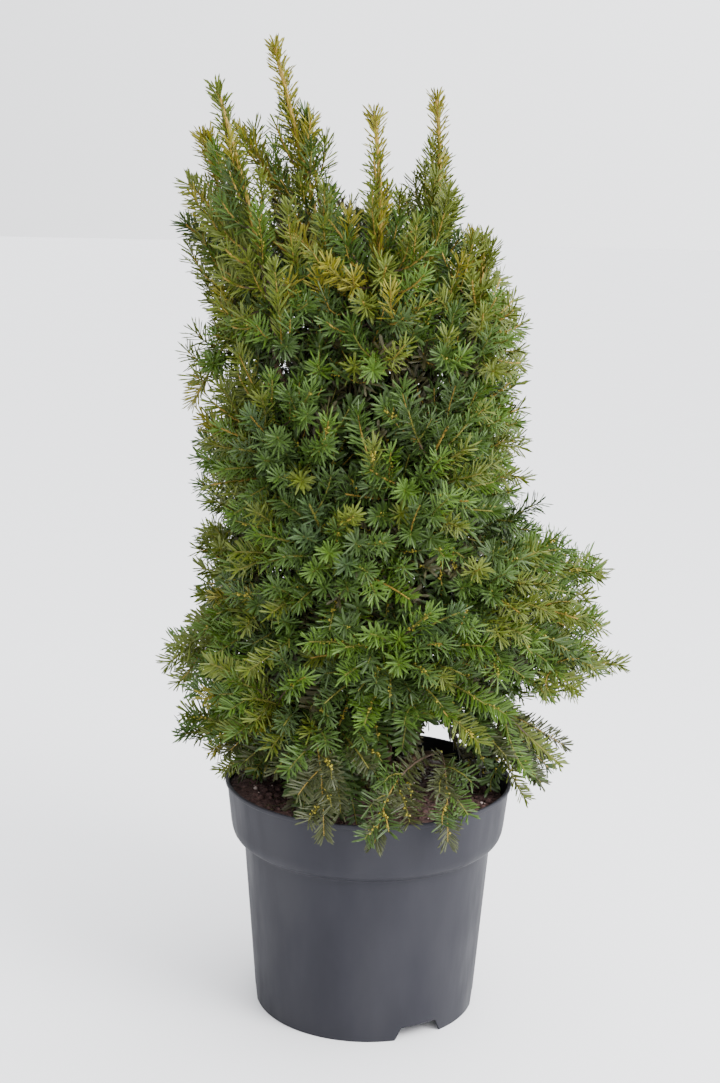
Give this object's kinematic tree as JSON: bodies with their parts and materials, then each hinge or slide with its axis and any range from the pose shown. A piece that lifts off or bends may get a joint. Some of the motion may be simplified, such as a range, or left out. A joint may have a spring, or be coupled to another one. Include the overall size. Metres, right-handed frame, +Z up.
{
  "type": "potted english yew",
  "caption": "Young upright english yew shrub with steep boughs and separate masses of short flat needles, growing in a round flared nursery pot filled with soil.",
  "frame": {"origin": "on the pot's axis, on the flat underside that the pot stands on", "axes": "+Z up, -Y the front that the widest view of the crown shows, +X to the right of that view"},
  "size_m": [0.468, 0.3613, 0.93],
  "materials": {
    "pot": "satin moulded plastic with faint scratches",
    "soil": "moist peat substrate",
    "bark": "thin flaking bark",
    "foliage": "leathery semi-gloss needles"
  },
  "bodies": {
    "root": {"pot": "pot", "soil": "soil", "trunk": "bark", "bough_plume_back": "bark", "bough_plume_back_left": "bark", "bough_plume_far_right": "bark", "bough_plume_front": "bark", "bough_plume_front_left": "bark", "bough_plume_left": "bark", "bough_plume_right": "bark", "bough_side_01": "bark", "bough_side_02": "bark", "bough_side_03": "bark", "bough_side_04": "bark", "bough_side_05": "bark", "bough_side_06": "bark", "bough_side_07": "bark", "bough_side_08": "bark", "bough_side_09": "bark", "bough_side_10": "bark", "bough_side_11": "bark", "bough_side_12": "bark", "bough_side_13": "bark", "bough_side_14": "bark", "bough_side_15": "bark", "bough_side_16": "bark", "bough_side_17": "bark", "bough_side_18": "bark", "bough_side_19": "bark", "foliage_plume_back": "foliage", "foliage_plume_back_left": "foliage", "foliage_plume_far_right": "foliage", "foliage_plume_front": "foliage", "foliage_plume_front_left": "foliage", "foliage_plume_left": "foliage", "foliage_plume_right": "foliage", "foliage_plume_tall": "foliage", "foliage_side_01": "foliage", "foliage_side_02": "foliage", "foliage_side_03": "foliage", "foliage_side_04": "foliage", "foliage_side_05": "foliage", "foliage_side_06": "foliage", "foliage_side_07": "foliage", "foliage_side_08": "foliage", "foliage_side_09": "foliage", "foliage_side_10": "foliage", "foliage_side_11": "foliage", "foliage_side_12": "foliage", "foliage_side_13": "foliage", "foliage_side_14": "foliage", "foliage_side_15": "foliage", "foliage_side_16": "foliage", "foliage_side_17": "foliage", "foliage_side_18": "foliage", "foliage_side_19": "foliage"}
  },
  "joints": []
}
